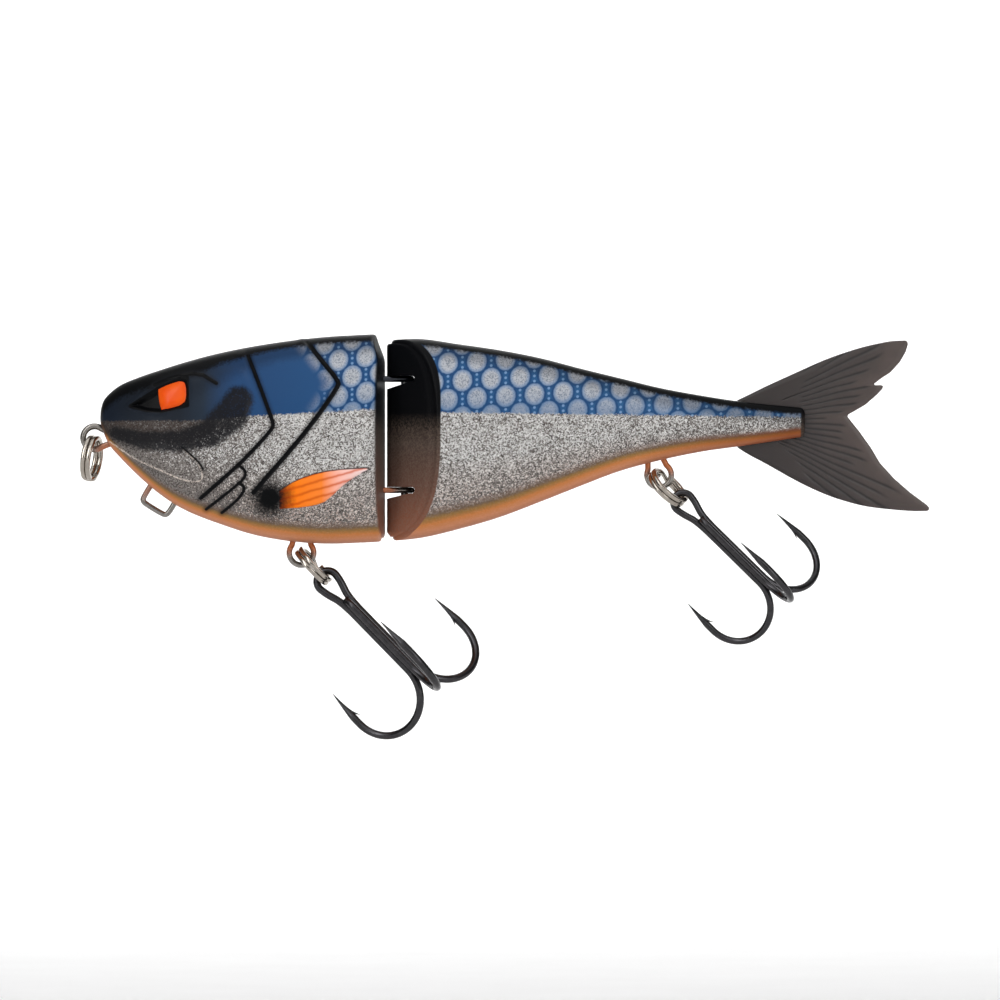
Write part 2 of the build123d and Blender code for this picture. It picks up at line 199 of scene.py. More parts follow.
def head_relief(x, z):
    """How far the front section's skin stands proud (+) or is pressed in (-), in millimetres."""
    relief = np.zeros(x.shape)
    for line, depth, width in ((GILL_FRONT, 0.38, 0.42), (GILL_REAR, 0.38, 0.5), (BROW, 0.2, 0.35),
                               (GILL_CURLS[0], 0.22, 0.3), (GILL_CURLS[1], 0.22, 0.3)):
        relief -= depth * np.exp(-(line_distance(line, x, z) / width) ** 2)
    for line in (GILL_FRONT, GILL_REAR):          # the gill plate's edge stands up just ahead of each groove
        relief += 0.22 * np.exp(-((line_distance(line - (1.2, 0), x, z)) / 0.9) ** 2)
    jaw = line_distance(JAW, x, z)
    relief += 0.2 * np.exp(-(jaw / 0.35) ** 2) - 0.1 * np.exp(-((jaw - 0.8) / 0.4) ** 2)
    relief += 0.4 * smoothstep(0.25, -0.45, outline_distance(PECTORAL, x, z))
    socket = outline_distance(SOCKET, x, z)
    relief += 0.25 * np.exp(-(socket / 0.45) ** 2) - 0.55 * smoothstep(0.0, -1.1, socket)
    relief -= 0.5 * smoothstep(0.1, -0.7, outline_distance(PUPIL_GAP, x, z))
    relief -= 0.35 * smoothstep(0.6, -1.2, cheek_distance(x, z))
    return relief


# --- the skin of a half-body
def section_point(outline, x, turn, inset=0.0, gap=0.0):
    """A point on the body's skin. turn runs from 1 at the back through 0 at the side to -1 at the belly."""
    back, belly, half_width = outline_at(outline, x)
    middle, half_height = (back + belly) / 2, (back - belly) / 2 - inset
    wide = np.maximum(half_width - inset, 0.05) - gap
    angle = turn * pi / 2
    power = np.where(turn > 0, 2 / BACK_SQUARENESS, 2 / BELLY_SQUARENESS)
    blunt = smoothstep(8, 0, x - outline[0][0]) if outline is FRONT_OUTLINE else 0.0
    power = power + (2 / 2.1 - power) * blunt        # the nose is a plain round cap
    y = gap + wide * np.abs(np.cos(angle)) ** power
    z = middle + half_height * np.sign(np.sin(angle)) * np.abs(np.sin(angle)) ** power
    return y, z


def skin_y(outline, x, z):
    """How far the skin stands from the centre plane at a point of the side view."""
    back, belly, half_width = outline_at(outline, np.asarray(x, float))
    middle, half_height = (back + belly) / 2, (back - belly) / 2
    squareness = np.where(z > middle, BACK_SQUARENESS, BELLY_SQUARENESS)
    return half_width * (1 - np.minimum(np.abs((z - middle) / half_height), 1) ** squareness) ** (1 / squareness)


def even_turns(outline, x, count):
    """Turns that space the points of a section evenly along its skin."""
    fine = np.linspace(1, -1, 1500)
    y, z = section_point(outline, np.full(fine.shape, x), fine)
    run = np.concatenate([[0], np.cumsum(np.hypot(np.diff(y), np.diff(z)))])
    return np.interp(np.linspace(0, run[-1], count), run, fine)


def front_face_x(y, z):
    """The front section's rear face: a blunt ridge, rounded off towards the back."""
    return FACE_X - np.abs(y) * FACE_FALL - 1.7 * smoothstep(15.0, 21.3, z) - 0.7 * smoothstep(-19.5, -21.5, z)


def rear_face_x(y, z):
    """The rear section's wedge: a nose round the pin, then straight flanks."""
    y = np.abs(y)
    touch_y = NOSE_R * cos(FLANK_ANGLE)
    nose = PIN_X - np.sqrt(np.maximum(NOSE_R ** 2 - y ** 2, 0.1))
    flank = PIN_X - NOSE_R * sin(FLANK_ANGLE) + (y - touch_y) / tan(FLANK_ANGLE)
    return np.where(y < touch_y, nose, flank) + 1.0 * smoothstep(18.6, 20.3, z) + 1.2 * smoothstep(-19.0, -21.2, z)


def skin_grid(outline, face, rows, columns, face_rows, rim=0.8):
    """The half-body's skin as rows of points: the open end's face, its rounded rim, then the side wall.

    face is front_face_x or rear_face_x. The front section runs from its nose to the face, and the rear
    section from the face to the tail end, so the rear one is built from its face backwards.
    """
    front = outline is FRONT_OUTLINE
    wall_rows = []
    x_mid = 57.0 if front else 66.0
    rim_turns = even_turns(outline, x_mid, columns)
    rim_y, rim_z = section_point(outline, np.full(columns, x_mid), rim_turns)
    for _ in range(4):                             # settle where the side wall meets the face
        rim_x = face(rim_y, rim_z)
        rim_y, rim_z = section_point(outline, rim_x, rim_turns)
    way = 1 if front else -1
    for share in np.linspace(0, 1, rows):
        if front:
            soft = 3.0                             # millimetres over which rows crowd into the nose
            reach = 62.0
            run = (np.sqrt((share * reach) ** 2 + soft ** 2) - soft) / (np.sqrt(reach ** 2 + soft ** 2) - soft)
            x = outline[0][0] + (rim_x - rim - outline[0][0]) * run
        else:
            x = TAIL_END_X + (rim_x + rim - TAIL_END_X) * share
        turns = even_turns(outline, float(x.mean()), columns)
        turns = turns + (rim_turns - turns) * smoothstep(0.5, 1.0, share)
        gap = 0.0 if front else TAIL_SLOT * smoothstep(TAIL_SLOT_X - 0.1, TAIL_SLOT_X + 0.2, x)
        y, z = section_point(outline, x, turns, gap=gap)
        if not front:                              # the tail end is rounded off
            rounding = 0.9
            past = np.maximum(x - (TAIL_END_X - rounding), 0)
            inset = rounding - np.sqrt(np.maximum(rounding ** 2 - past ** 2, 0))
            y, z = section_point(outline, x, turns, inset=inset, gap=gap)
        wall_rows.append(np.stack([x, y, z], axis=1))
    for angle in np.linspace(0, pi / 2, 7)[1:]:
        inset = rim * (1 - cos(angle))
        x = rim_x - way * rim * (1 - sin(angle))
        y, z = section_point(outline, x, rim_turns, inset=inset)
        wall_rows.append(np.stack([x, y, z], axis=1))
    _, edge_y, edge_z = wall_rows[-1].T
    for share in np.linspace(1, 0, face_rows + 1)[1:]:
        y = edge_y * share
        wall_rows.append(np.stack([face(y, edge_z), y, edge_z], axis=1))
    return np.array(wall_rows)


def press_relief(points, relief, wall_rows):
    """Moves the side wall's points along the skin's normal by the relief."""
    along = np.gradient(points, axis=0)
    around = np.gradient(points, axis=1)
    normal = np.cross(around, along)
    length = np.linalg.norm(normal, axis=2, keepdims=True)
    normal = normal / np.maximum(length, 1e-9)
    normal *= np.where(normal[..., 1:2] < 0, -1, 1)
    height = relief(points[..., 0], points[..., 2])
    height *= smoothstep(0.5, 2.5, points[..., 1])
    height[wall_rows:] = 0
    return points + normal * height[..., None]


def half_body(name, outline, face, side, rows, columns, face_rows, relief=None, cutters=()):
    """One moulded half of a section, closed on the centre plane. side is -1 for the fish's left."""
    points = skin_grid(outline, face, rows, columns, face_rows)
    if relief:
        points = press_relief(points, relief, rows)
    points[..., 1] *= side
    row_count = points.shape[0]
    bm = bmesh.new()
    bmesh.ops.create_grid(bm, x_segments=columns - 1, y_segments=row_count - 1, size=1.0)
    bm.verts.ensure_lookup_table()
    placed = np.array([vert.co[:2] for vert in bm.verts])
    column = np.rint((placed[:, 0] + 1) / 2 * (columns - 1)).astype(int)
    row = np.rint((placed[:, 1] + 1) / 2 * (row_count - 1)).astype(int)
    for vert, place in zip(bm.verts, points[row, column] * MM):
        vert.co = place
    bmesh.ops.remove_doubles(bm, verts=bm.verts, dist=0.004 * MM)
    bmesh.ops.holes_fill(bm, edges=open_edges(bm), sides=0)
    piece = to_object(name, bm)
    for cutter in cutters:
        cut = piece.modifiers.new("slot", "BOOLEAN")
        cut.object, cut.operation, cut.solver = cutter, "DIFFERENCE", "EXACT"
    if cutters:
        settle(piece)
    return piece


def verts_in(geometry):
    """The vertices among what a bmesh operator returns."""
    return [item for item in geometry if isinstance(item, bmesh.types.BMVert)]


def edges_in(geometry):
    return [item for item in geometry if isinstance(item, bmesh.types.BMEdge)]


def open_edges(bm):
    return [edge for edge in bm.edges if edge.is_boundary]


def to_object(name, bm, smooth_sides=None):
    """Makes an object of a bmesh. All faces are shaded smooth, or only those with this many sides."""
    bmesh.ops.recalc_face_normals(bm, faces=bm.faces)
    for face in bm.faces:
        face.smooth = smooth_sides in (None, len(face.verts))
    mesh = bpy.data.meshes.new(name)
    bm.to_mesh(mesh)
    bm.free()
    piece = bpy.data.objects.new(name, mesh)
    bpy.context.scene.collection.objects.link(piece)
    return piece


def settle(piece):
    """Bakes a piece's modifiers into its mesh."""
    graph = bpy.context.evaluated_depsgraph_get()
    graph.update()
    mesh = bpy.data.meshes.new_from_object(piece.evaluated_get(graph))
    piece.modifiers.clear()
    piece.data = mesh


def slot_cutter(name, z, above, below, mouth_below):
    """A wedge-shaped slug the size of one hinge slot, right across the body."""
    front, back = PIN_X - NOSE_R - 1, PIN_X + 2.1
    side = [(front, z + above), (back - 0.35, z + above), (back, z + 0.25), (back, z - 0.25),
            (back - 0.35, z - below), (PIN_X + 1.0, z - below), (front, z - mouth_below)]
    bm = bmesh.new()
    ring = [bm.verts.new((x * MM, -16 * MM, z_ * MM)) for x, z_ in side]
    face = bm.faces.new(ring)
    moved = bmesh.ops.extrude_face_region(bm, geom=[face])["geom"]
    bmesh.ops.translate(bm, verts=verts_in(moved), vec=(0, 32 * MM, 0))
    return to_object(name, bm, smooth_sides=0)


# --- paint fields stored on the shells
def scale_fields(x, z, origin, pitch, row_pitch, slope):
    """Distance to the nearest scale's centre, and to the fine dots between neighbours in a row."""
    flat = z - slope * (x - origin[0]) - origin[1]
    disc = np.full(x.shape, 1e3)
    dots = np.full(x.shape, 1e3)
    row_here = np.rint(flat / row_pitch)
    for step in (-1, 0, 1):
        row = row_here + step
        shift = (row % 2) * 0.5 * pitch
        across = x - origin[0] - shift
        across = across - np.rint(across / pitch) * pitch
        up = flat - row * row_pitch
        disc = np.minimum(disc, np.hypot(across, up * 0.9))
        beside = pitch / 2 - np.abs(across)
        for dot in (-1.05, 0.0, 1.05):
            dots = np.minimum(dots, np.hypot(beside, up - dot))
    return disc, dots


def store(piece, name, values):
    layer = piece.data.attributes.new(name, "FLOAT", "POINT")
    layer.data.foreach_set("value", np.ascontiguousarray(values, np.float32))


def vertex_places(piece):
    """X, Y and Z of every vertex, in millimetres."""
    flat = np.empty(len(piece.data.vertices) * 3, np.float32)
    piece.data.vertices.foreach_get("co", flat)
    return flat.reshape(-1, 3).T.astype(float) / MM


PAINT_FIELDS = ("flank_share", "below_back", "above_belly", "muzzle", "jaw_line", "above_flank", "scale_centre",
                "scale_dots", "inked_and_shaded_line", "behind_gill", "fin_leaf", "fin_leaf_edge", "body_spot", "eye_socket",
                "joint_face", "cheek")


def paint_fields(piece, outline):
    """Stores what the airbrush stencils followed, in millimetres, on every vertex."""
    x, y, z = vertex_places(piece)
    back, belly, _ = outline_at(outline, x)
    never = np.full(x.shape, NEVER)
    if outline is FRONT_OUTLINE:
        black_band = np.interp(x, (2, 8, 15, 22, 26, 31, 38), (2.6, 3.0, 3.3, 3.2, 2.5, 2.1, 1.6))
        orange_band = np.interp(x, (5, 20, 40), (1.8, 2.4, 3.1))
        flank = z - (3.4 + 1.0 * smoothstep(20, 34, x) + 0.057 * np.maximum(x - 34, 0))
        disc, dots = scale_fields(x, z, (50.0, 15.7), 5.6, 3.7, 0.14)
        lines = never
        for line, thin in ((GILL_FRONT, 0.0), (GILL_REAR, -0.08), (GILL_CURLS[0], 0.1), (GILL_CURLS[1], 0.1),
                           (BROW, 0.02), (JAW[-12:] + (0.35, 0.1), 0.22)):
            lines = np.minimum(lines, line_distance(line, x, z) + thin)
        behind_gill = x - np.interp(z, GILL_REAR[::-1, 1], GILL_REAR[::-1, 0])
        leaf = outline_distance(PECTORAL, x, z)
        leaf_edge = line_distance(PECTORAL[:len(PECTORAL) // 2], x, z)
        spot = np.hypot(x - BODY_SPOT[0], z - BODY_SPOT[1])
        socket = np.minimum(outline_distance(PUPIL_GAP, x, z), outline_distance(np.array(EYE_CORNERS), x, z))
        face = x - front_face_x(y, z)
        cheek = cheek_distance(x, z)
        line_x, line_z, _ = np.array(CHEEK).T
        muzzle = np.where(x < 25, np.interp(x, line_x, line_z) - z, NEVER)
        jaw = line_distance(JAW, x, z)
    else:
        black_band = np.full(x.shape, 1.5)
        orange_band = np.interp(x, (70, 111, 135, 145), (4.1, 2.9, 1.8, 1.5))
        flank = z - (5.1 - 0.012 * (x - 69))
        disc, dots = scale_fields(x, z, (78.1, 8.0), 5.85, 3.74, 0.067)
        lines = leaf = leaf_edge = spot = socket = cheek = muzzle = jaw = behind_gill = never
        # the black of the joint runs on to the side wall, further towards the back
        face = rear_face_x(y, z) - x + 0.95 + 0.9 * smoothstep(2, 17, z)
        face = np.maximum(face, x - 144.3)
    share = (z - belly) / np.maximum((z - belly) - flank, 0.1)
    below_back = (back - z) * 1.5 / black_band
    above_belly = (z - belly) * 4.0 / orange_band
    values = (np.clip(share, 0, 1), below_back, above_belly, muzzle, jaw, flank, disc, dots, lines, behind_gill,
              leaf, leaf_edge, spot, socket, face, cheek)
    for name, field in zip(PAINT_FIELDS, values):
        store(piece, name, field)


# --- materials
def linear(hex_colour):
    """sRGB hex to linear RGBA."""
    values = [int(hex_colour[i:i + 2], 16) / 255 for i in (1, 3, 5)]
    return [v / 12.92 if v <= 0.04045 else ((v + 0.055) / 1.055) ** 2.4 for v in values] + [1.0]


def set_inputs(tree, node, inputs):
    """Sets a node's inputs, or links those whose value is another node's output."""
    for key, value in inputs.items():
        if isinstance(value, bpy.types.NodeSocket):
            tree.links.new(value, node.inputs[key])
        else:
            node.inputs[key].default_value = value


def add(tree, kind, inputs=None, **settings):
    """Adds a node with its settings, and sets or links its inputs."""
    node = tree.nodes.new(kind)
    for name, value in settings.items():
        setattr(node, name, value)
    set_inputs(tree, node, inputs or {})
    return node


def new_material(name):
    material = bpy.data.materials.new(name)
    material.use_nodes = True
    tree = material.node_tree
    return material, tree, tree.nodes["Principled BSDF"]


def object_place(tree):
    return add(tree, "ShaderNodeTexCoord").outputs["Object"]


def stored(tree, field):
    return add(tree, "ShaderNodeAttribute", attribute_name=field).outputs["Fac"]


def noise(tree, place, size_mm, detail):
    inputs = {"Vector": place, "Scale": 1 / (size_mm * MM), "Detail": detail}
    return add(tree, "ShaderNodeTexNoise", inputs).outputs["Fac"]


def maths(tree, operation, *values):
    return add(tree, "ShaderNodeMath", dict(enumerate(values)), operation=operation).outputs[0]


def times(tree, value, factor):
    return maths(tree, "MULTIPLY", value, factor)


def ranged(tree, value, low, high, to_low=0.0, to_high=1.0, **settings):
    """Maps low to high onto to_low to to_high, and holds the ends."""
    inputs = {"Value": value, "From Min": low, "From Max": high, "To Min": to_low, "To Max": to_high}
    return add(tree, "ShaderNodeMapRange", inputs, **settings).outputs["Result"]


def stencil(tree, value, sharp_at, soft):
    """A mask: 1 below sharp_at, fading over soft millimetres."""
    return ranged(tree, value, sharp_at + soft / 2, sharp_at - soft / 2, interpolation_type="SMOOTHSTEP")


def mix(tree, share, under, over):
    """One colour laid over another by a share. Each is a node's output or sRGB hex."""
    under, over = [linear(colour) if isinstance(colour, str) else colour for colour in (under, over)]
    return add(tree, "ShaderNodeMix", {0: share, 6: under, 7: over}, data_type="RGBA").outputs[2]


def shades(tree, share, first, between, last):
    """Colour along a share from 0 to 1. between lists positions and sRGB hex."""
    ramp = add(tree, "ShaderNodeValToRGB", {"Fac": share})
    stops = ramp.color_ramp.elements
    stops[0].color, stops[1].color = linear(first), linear(last)
    for position, colour in between:
        stops.new(position).color = linear(colour)
    return ramp.outputs["Color"]


def silver_flank(tree, fields, along, grain, clouds, behind_gill):
    """Bright grains with dark ones between them, in faint scales at first, then denser and browner below; the
    darkening towards the belly is partly the paint and partly painted shade, as if lit from above.
    """
    # painted shade: the dark grains grow denser towards the belly, partly paint and partly the shade of light
    # falling from above
    dark_share = ranged(tree, fields["flank_share"], 0.75, 0.1, 0.41, 0.74)
    headward = ranged(tree, along["X"], 42 * MM, 8 * MM, to_high=0.5)
    tailward = ranged(tree, along["X"], 108 * MM, 140 * MM, to_high=0.2)
    cloudy = maths(tree, "MULTIPLY_ADD", clouds, 0.3, -0.15)
    between_scales = ranged(tree, fields["scale_centre"], 1.7, 2.7, to_high=0.22)
    fading = ranged(tree, fields["above_flank"], -11.0, -1.0)
    ghost = times(tree, between_scales, fading)
    ghost = times(tree, ghost, stencil(tree, behind_gill, -1.0, 2.0))
    for part in (cloudy, ghost, headward, tailward):
        dark_share = maths(tree, "ADD", dark_share, part)
    bright = ranged(tree, maths(tree, "SUBTRACT", grain["Red"], dark_share), -0.14, 0.1)
    brown = ranged(tree, fields["flank_share"], 0.6, 0.15)
    dark_grain = mix(tree, grain["Green"], "#45403E", "#8B8581")
    light_grain = mix(tree, grain["Blue"], "#A9A8A6", "#DEDDDB")
    warm_grain = mix(tree, grain["Blue"], "#A3897C", "#DCD2CB")
    return mix(tree, bright, dark_grain, mix(tree, brown, light_grain, warm_grain))


def blue_side(tree, fields, along, grain, behind_gill, disc_field):
    """Dark slate on the head, strongest at the neck, with pale speckled scales behind the gill."""
    side = shades(tree, ranged(tree, along["X"], 0.0, 0.145), "#1C2636",
                  ((0.05, "#20262F"), (0.12, "#22272F"), (0.155, "#28323F"), (0.20, "#27466F"), (0.36, "#29517F")),
                  "#36608C")
    speckled = ranged(tree, grain["Green"], 0.0, 0.6, 0.3, 1.0)
    scale_rim = ranged(tree, fields["scale_centre"], 1.2, 2.0)
    scale_paint = mix(tree, scale_rim, mix(tree, speckled, "#56616F", "#BABDC3"), "#748EB0")
    tint = ranged(tree, fields["above_flank"], 5.0, 0.0, to_high=0.6)
    scale_paint = mix(tree, tint, scale_paint, "#4A7099")
    scaled_zone = stencil(tree, behind_gill, 1.6, 5.5)   # scales fade out just ahead of the rear gill
    for mask, colour, strength in ((stencil(tree, fields["scale_centre"], 2.4, 0.4), "#1F3C66", 0.6),
                                   (stencil(tree, fields["scale_dots"], 0.28, 0.2), "#7FA3CC", 0.75),
                                   (stencil(tree, disc_field, 1.98, 0.35), scale_paint, 0.95)):
        share = times(tree, times(tree, mask, scaled_zone), strength)
        side = mix(tree, share, side, colour)
    return side


def joint_faces(tree, along, grain):
    """Black above, dark brown and speckled below, rusty at the belly."""
    joint = shades(tree, ranged(tree, along["Z"], -0.022, 0.021), "#B0623C",
                   ((0.07, "#8A5540"), (0.28, "#64463B"), (0.48, "#463A35"), (0.58, "#0E0E10")), "#0B0C0F")
    below_middle = ranged(tree, along["Z"], 0.005, 0.002, to_high=0.38)
    return mix(tree, times(tree, grain["Blue"], below_middle), joint, "#7A6A5E")


def pectoral_fin(tree, place, along):
    """Orange, paling to its tip, with two darker streaks."""
    leaf = shades(tree, ranged(tree, along["X"], 0.038, 0.056), "#8A3A10",
                  ((0.08, "#D2640F"), (0.2, "#FF8118"), (0.48, "#FF8A36"), (0.70, "#FFC2B4"), (0.85, "#F6CFC8")),
                  "#FFE9E6")
    turned = add(tree, "ShaderNodeMapping", {"Vector": place, "Rotation": (0, radians(16), 0)}).outputs["Vector"]
    streaks = add(tree, "ShaderNodeTexWave",
                  {"Vector": turned, "Scale": 1 / (5 * MM), "Distortion": 1.2, "Detail Scale": 2.0},
                  wave_type="BANDS", bands_direction="Z").outputs["Fac"]
    streak_share = times(tree, maths(tree, "POWER", streaks, 3.0), 0.75)
    return mix(tree, streak_share, leaf, "#D2500A")


def airbrushed_shell():
    """ABS, moulded, sprayed through stencils over metal flake and clear coated: glossy, with a grainy silver flank
    under the colour, soft overspray at every edge, and painted shade along the pressed lines."""
    material, tree, shader = new_material("airbrushed_abs_shell")
    place = object_place(tree)
    # Metal flake of about 0.1 mm, drawn at 0.22 mm so that single grains still show.
    grains = add(tree, "ShaderNodeTexVoronoi", {"Vector": place, "Scale": 1 / (0.22 * MM)}).outputs["Color"]
    grain = add(tree, "ShaderNodeSeparateColor", {"Color": grains}).outputs
    along = add(tree, "ShaderNodeSeparateXYZ", {"Vector": place}).outputs
    spray = maths(tree, "ADD", noise(tree, place, 0.5, 2.0), -0.5)
    spray = times(tree, spray, 1.1)
    fields = {name: stored(tree, name) for name in PAINT_FIELDS}
    sprayed = {}                                   # fields whose edges the spray makes ragged
    for name, amount in (("above_flank", 1.0), ("below_back", 1.0), ("scale_centre", 0.25), ("cheek", 1.2),
                         ("body_spot", 2.2), ("above_belly", 0.6), ("inked_and_shaded_line", 0.12)):
        sprayed[name] = maths(tree, "MULTIPLY_ADD", spray, amount, fields[name])
    behind_gill = times(tree, fields["behind_gill"], -1.0)

    paint = silver_flank(tree, fields, along, grain, noise(tree, place, 4.0, 3.0), behind_gill)
    side = blue_side(tree, fields, along, grain, behind_gill, sprayed["scale_centre"])
    # Belly: a band of translucent orange with an olive edge where it meets the flake.
    belly = shades(tree, ranged(tree, sprayed["above_belly"], 0.0, 8.0), "#B06D4E",
                   ((0.15, "#D08A62"), (0.30, "#CC7F44"), (0.43, "#96713F"), (0.53, "#6E5A48"), (0.70, "#8A7064")),
                   "#8A7468")
    belly_mask = stencil(tree, sprayed["above_belly"], 4.9, 2.6)
    tail_belly = times(tree, ranged(tree, along["X"], 112 * MM, 142 * MM), belly_mask)
    above_flank = times(tree, sprayed["above_flank"], -1.0)
    on_joint = times(tree, fields["joint_face"], -1.0)
    sparse = ranged(tree, grain["Blue"], 0.80, 0.95, 0.97, 0.80)
    cheek = times(tree, stencil(tree, sprayed["cheek"], 0.3, 1.5), sparse)
    jaw_line = times(tree, stencil(tree, fields["jaw_line"], 0.16, 0.2), grain["Green"])
    ink = "#08090B"
    coats = [                                      # mask, colour and strength, in the order they are laid on: the sprayed paint and a painted shade
        (belly_mask, belly, 0.94),
        (tail_belly, "#6E2E14", 0.7),
        (jaw_line, "#E6D8CC", 0.9),
        (stencil(tree, fields["muzzle"], 0.3, 1.2), "#352C28", 0.8),
        (stencil(tree, above_flank, 0.0, 0.5), side, 1.0),
        (cheek, "#1D1D20", 1.0),
        (stencil(tree, sprayed["below_back"], 3.6, 2.4), "#11151C", 0.42),
        (stencil(tree, sprayed["below_back"], 1.5, 0.9), ink, 1.0),
        # painted shade: a soft dark band along the pressed gill, brow and jaw lines, where shade would lie in the
        # grooves
        (stencil(tree, sprayed["inked_and_shaded_line"], 0.8, 1.0), "#1B1C20", 0.5),
        (stencil(tree, sprayed["inked_and_shaded_line"], 0.4, 0.22), ink, 1.0),
        (stencil(tree, fields["fin_leaf"], 0.0, 0.14), pectoral_fin(tree, place, along), 1.0),
        (stencil(tree, fields["fin_leaf_edge"], 0.14, 0.16), ink, 0.85),
        (stencil(tree, sprayed["body_spot"], 3.7, 4.4), ink, 1.0),
        (stencil(tree, fields["eye_socket"], 0.38, 0.25), ink, 1.0),
        (stencil(tree, on_joint, 0.15, 0.35), joint_faces(tree, along, grain), 1.0),
    ]
    for mask, colour, strength in coats:
        paint = mix(tree, times(tree, mask, strength), paint, colour)
    flake_bump = add(tree, "ShaderNodeBump", {"Height": grain["Red"], "Strength": 0.12, "Distance": 0.05 * MM})
    set_inputs(tree, shader, {"Base Color": paint, "Normal": flake_bump.outputs["Normal"], "Roughness": 0.45,
                              "IOR": 1.3, "Specular IOR Level": 0.1, "Coat Weight": 0.05, "Coat Roughness": 0.14})
    return material


def wire_metal(name, colour, roughness, scratch_mm):
    """Drawn or plated wire: bright metal with fine lines and slight handling marks."""
    material, tree, shader = new_material(name)
    marks = noise(tree, object_place(tree), scratch_mm, 5.0)
    bump = add(tree, "ShaderNodeBump", {"Height": marks, "Strength": 0.15, "Distance": 0.03 * MM}).outputs["Normal"]
    rough = ranged(tree, marks, 0.3, 0.7, roughness * 0.75, roughness * 1.4)
    set_inputs(tree, shader, {"Base Color": mix(tree, marks, *colour), "Roughness": rough, "Normal": bump,
                              "Metallic": 1.0})
    return material


def oversprayed_wire():
    """Stainless wire set in before painting, so orange overspray clings to it near the belly."""
    material = wire_metal("oversprayed_stainless", ("#6E6A66", "#A7A29C"), 0.2, 0.8)
    tree = material.node_tree
    shader = tree.nodes["Principled BSDF"]
    shade = shader.inputs["Base Color"].links[0].from_socket
    spray = stored(tree, "overspray")
    set_inputs(tree, shader, {"Base Color": mix(tree, spray, shade, "#B4622F"),
                              "Metallic": ranged(tree, spray, 0.0, 1.0, 1.0, 0.3)})
    return material


def eye_lens():
    """Clear domed resin over fluorescent orange foil: saturated, bright at the rim, very glossy, with a faint
    painted glow for the foil's brightness.
    """
    material, tree, shader = new_material("domed_resin_eye")
    shade = mix(tree, noise(tree, object_place(tree), 2.5, 2.0), "#D83E06", "#E66014")
    # painted glow: a faint emission lifts the orange, standing in for the fluorescent foil's brightness
    set_inputs(tree, shader, {"Base Color": shade, "Roughness": 0.3, "Specular IOR Level": 0.1, "Coat Weight": 0.12,
                              "Coat Roughness": 0.05, "Emission Color": linear("#FF4A08"), "Emission Strength": 0.1})
    return material


def soft_fin():
    """Plastisol, poured: waxy, slightly see-through brown, greyer at the tips, dark pigment in the rays."""
    material, tree, shader = new_material("poured_plastisol_fin")
    ray = times(tree, stored(tree, "fin_ray"), 0.85)
    murk = noise(tree, object_place(tree), 5.0, 3.0)
    reach = maths(tree, "MULTIPLY_ADD", murk, 0.3, stored(tree, "fin_reach"))
    reach = times(tree, reach, 0.77)
    base = shades(tree, reach, "#2B2524", ((0.3, "#2F2827"), (0.6, "#393130"), (0.8, "#463C39")), "#5C4F4A")
    set_inputs(tree, shader, {"Base Color": mix(tree, ray, base, "#0E0B0A"), "Roughness": 0.38,
                              "Subsurface Weight": 0.2, "IOR": 1.48,
                              "Subsurface Radius": (0.9 * MM * 3, 0.6 * MM * 3, 0.4 * MM * 3)})
    return material


SHELL = airbrushed_shell()
EYE = eye_lens()
FIN = soft_fin()
STAINLESS = oversprayed_wire()
DARK_STEEL = wire_metal("smoked_stainless", ("#2A2C31", "#4A4C52"), 0.2, 0.8)
NICKEL = wire_metal("nickel_plated_ring", ("#8E867D", "#C9C1B7"), 0.1, 1.2)
BLACK_NICKEL = wire_metal("black_nickel_hook", ("#333234", "#525153"), 0.2, 1.0)
PIN_STEEL = wire_metal("ground_steel_pin", ("#8C8C8C", "#BDBDBD"), 0.25, 1.0)


def finish_piece(piece, material, body, slot, *nodes):
    piece.data.materials.clear()
    piece.data.materials.append(material)
    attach(piece, body)
    if nodes:
        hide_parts(*nodes)


# --- shells
cutters = [slot_cutter("upper_slot", UPPER_EYE_Z, 0.63, 0.63, 2.4),
           slot_cutter("lower_slot", LOWER_EYE_Z, 0.63, 0.63, 2.0)]
coarse = 1
coarse = 1
for side_name, side in (("left", -1), ("right", 1)):
    shell = half_body("front_" + side_name + "_skin", FRONT_OUTLINE, front_face_x, side, 290 // coarse,
                      280 // coarse, 14, head_relief)
    paint_fields(shell, FRONT_OUTLINE)
    finish_piece(shell, SHELL, "front_section", "painted_shell", "front_shell_" + side_name)
    shell = half_body("rear_" + side_name + "_skin", REAR_OUTLINE, rear_face_x, side, 330 // coarse,
                      220 // coarse, 24, cutters=cutters)
    paint_fields(shell, REAR_OUTLINE)
    finish_piece(shell, SHELL, "rear_section", "painted_shell", "rear_shell_" + side_name)
for cutter in cutters:
    bpy.data.objects.remove(cutter)


# --- eyes
def domed_eye(name, side):
    """A four-cornered domed eye with soft corners, standing in its socket."""
    bm = bmesh.new()
    bmesh.ops.create_grid(bm, x_segments=28, y_segments=28, size=1.0)
    rim = open_edges(bm)
    top_left, top_right, low_right, low_left = [Vector((x, 0, z)) for x, z in EYE_CORNERS]
    for vert in bm.verts:
        u, v, _ = vert.co
        squeeze = 1 - 0.07 * (u * v) ** 2          # rounds the corners
        s, t = (u * squeeze + 1) / 2, (v * squeeze + 1) / 2
        place = (low_left * (1 - s) + low_right * s) * (1 - t) + (top_left * (1 - s) + top_right * s) * t
        dome = (1 - u ** 4) * (1 - v ** 4)
        place.y = float(skin_y(FRONT_OUTLINE, place.x, place.z)) - 0.55 + 0.6 * dome
        vert.co = Vector((place.x, side * place.y, place.z)) * MM
    skirt = bmesh.ops.extrude_edge_only(bm, edges=rim)["geom"]
    bmesh.ops.translate(bm, verts=verts_in(skirt), vec=(0, -side * 1.6 * MM, 0))
    bmesh.ops.holes_fill(bm, edges=open_edges(bm), sides=0)
    return to_object(name, bm, smooth_sides=4)


for name, side in (("left_eye", -1), ("right_eye", 1)):
    finish_piece(domed_eye(name + "_lens", side), EYE, "front_section", "eye_lens", name)


